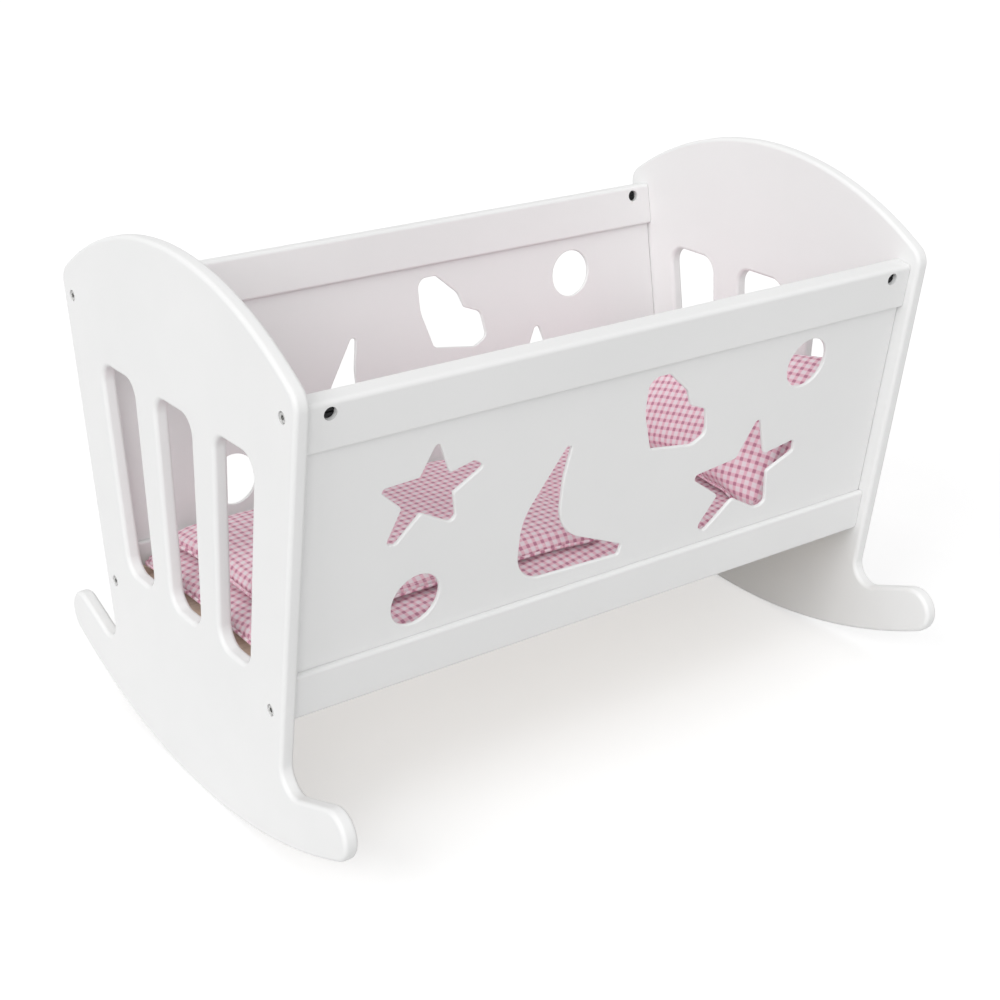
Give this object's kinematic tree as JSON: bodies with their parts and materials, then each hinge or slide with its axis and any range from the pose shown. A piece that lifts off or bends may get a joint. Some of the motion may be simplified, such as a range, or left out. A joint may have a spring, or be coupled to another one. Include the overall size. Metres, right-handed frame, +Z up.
{
  "type": "doll cradle",
  "caption": "Rocking cradle for dolls and soft toys, with pierced panels between side rails, slotted rocker ends, a base board, a mattress, a quilt and a pillow.",
  "frame": {"origin": "on the floor, under the middle of the cradle", "axes": "+X along the cradle to the head end, where the pillow leans; -Y to the front, where the upper barrel nuts face out; +Z up"},
  "size_m": [0.5, 0.383, 0.3686],
  "materials": {
    "white_paint": "fibreboard with satin white paint",
    "zinc_steel": "zinc plated",
    "pine": "bare planed",
    "plywood": "bare sanded",
    "pink_cotton": "pink and white gingham weave"
  },
  "bodies": {
    "cradle": {"end_panel_left": "white_paint", "end_panel_right": "white_paint", "side_panel_front": "white_paint", "side_panel_back": "white_paint", "side_rail_front_low": "white_paint", "side_rail_front_high": "white_paint", "side_rail_back_low": "white_paint", "side_rail_back_high": "white_paint", "base_board": "plywood", "batten_front": "pine", "batten_back": "pine", "batten_screw_front_1": "zinc_steel", "batten_screw_front_2": "zinc_steel", "batten_screw_front_3": "zinc_steel", "batten_screw_back_1": "zinc_steel", "batten_screw_back_2": "zinc_steel", "batten_screw_back_3": "zinc_steel", "bolt_left_front_low": "zinc_steel", "bolt_left_front_high": "zinc_steel", "bolt_right_front_low": "zinc_steel", "bolt_right_front_high": "zinc_steel", "bolt_left_back_low": "zinc_steel", "bolt_left_back_high": "zinc_steel", "bolt_right_back_low": "zinc_steel", "bolt_right_back_high": "zinc_steel", "barrel_nut_left_front_low": "zinc_steel", "barrel_nut_left_front_high": "zinc_steel", "barrel_nut_right_front_low": "zinc_steel", "barrel_nut_right_front_high": "zinc_steel", "barrel_nut_left_back_low": "zinc_steel", "barrel_nut_left_back_high": "zinc_steel", "barrel_nut_right_back_low": "zinc_steel", "barrel_nut_right_back_high": "zinc_steel"},
    "mattress": {"mattress": "pink_cotton"},
    "quilt": {"quilt": "pink_cotton"},
    "pillow": {"pillow": "pink_cotton"}
  },
  "joints": [
    {"name": "mattress_lift", "type": "slide", "parent": "cradle", "child": "mattress", "axis": [0, 0, 1], "range_m": [0, 0.26]},
    {"name": "quilt_lift", "type": "slide", "parent": "mattress", "child": "quilt", "axis": [0, 0, 1], "range_m": [0, 0.26]},
    {"name": "pillow_lift", "type": "slide", "parent": "mattress", "child": "pillow", "axis": [0, 0, 1], "range_m": [0, 0.26]}
  ]
}
